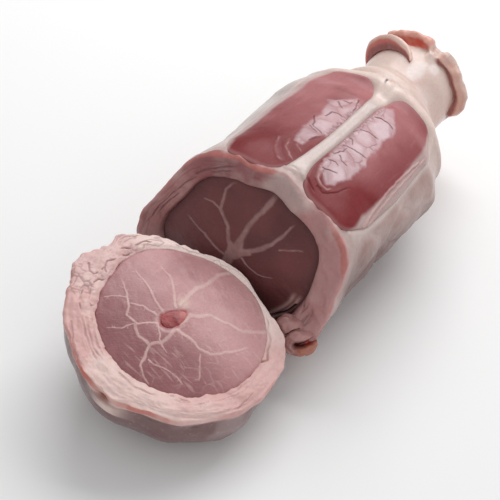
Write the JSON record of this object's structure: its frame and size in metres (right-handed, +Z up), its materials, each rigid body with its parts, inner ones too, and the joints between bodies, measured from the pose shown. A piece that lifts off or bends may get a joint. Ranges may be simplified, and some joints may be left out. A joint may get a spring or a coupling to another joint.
{
  "type": "lamb foreshank",
  "caption": "Raw lamb foreshank with a slanted cut at its thick end, two bare muscles on top, a trimmed neck, and its end slice laid open in front.",
  "frame": {"origin": "middle of the bounding box, on the surface the meat lies on", "axes": "+Z up, +Y along the shank from the cut end and its slice to the trimmed neck, +X to the side of the lumpy fat flank"},
  "size_m": [0.0832, 0.2022, 0.0635],
  "materials": {
    "shank_fat": "moist pale fat and silver skin, pink at the cut",
    "shank_lean": "moist dark lean meat with pale marbling",
    "muscle": "glossy deep pink muscle under a thin clear membrane",
    "slice_fat": "matt flaky pink fat with a dark moist skin below",
    "slice_lean": "moist pink lean meat with branching pale marbling",
    "slice_marrow": "wet red marrow"
  },
  "bodies": {
    "root": {"shank_fat": "shank_fat", "shank_lean": "shank_lean", "muscle_left": "muscle", "muscle_right": "muscle", "slice_fat": "slice_fat", "slice_lean": "slice_lean", "slice_marrow": "slice_marrow"}
  },
  "joints": []
}
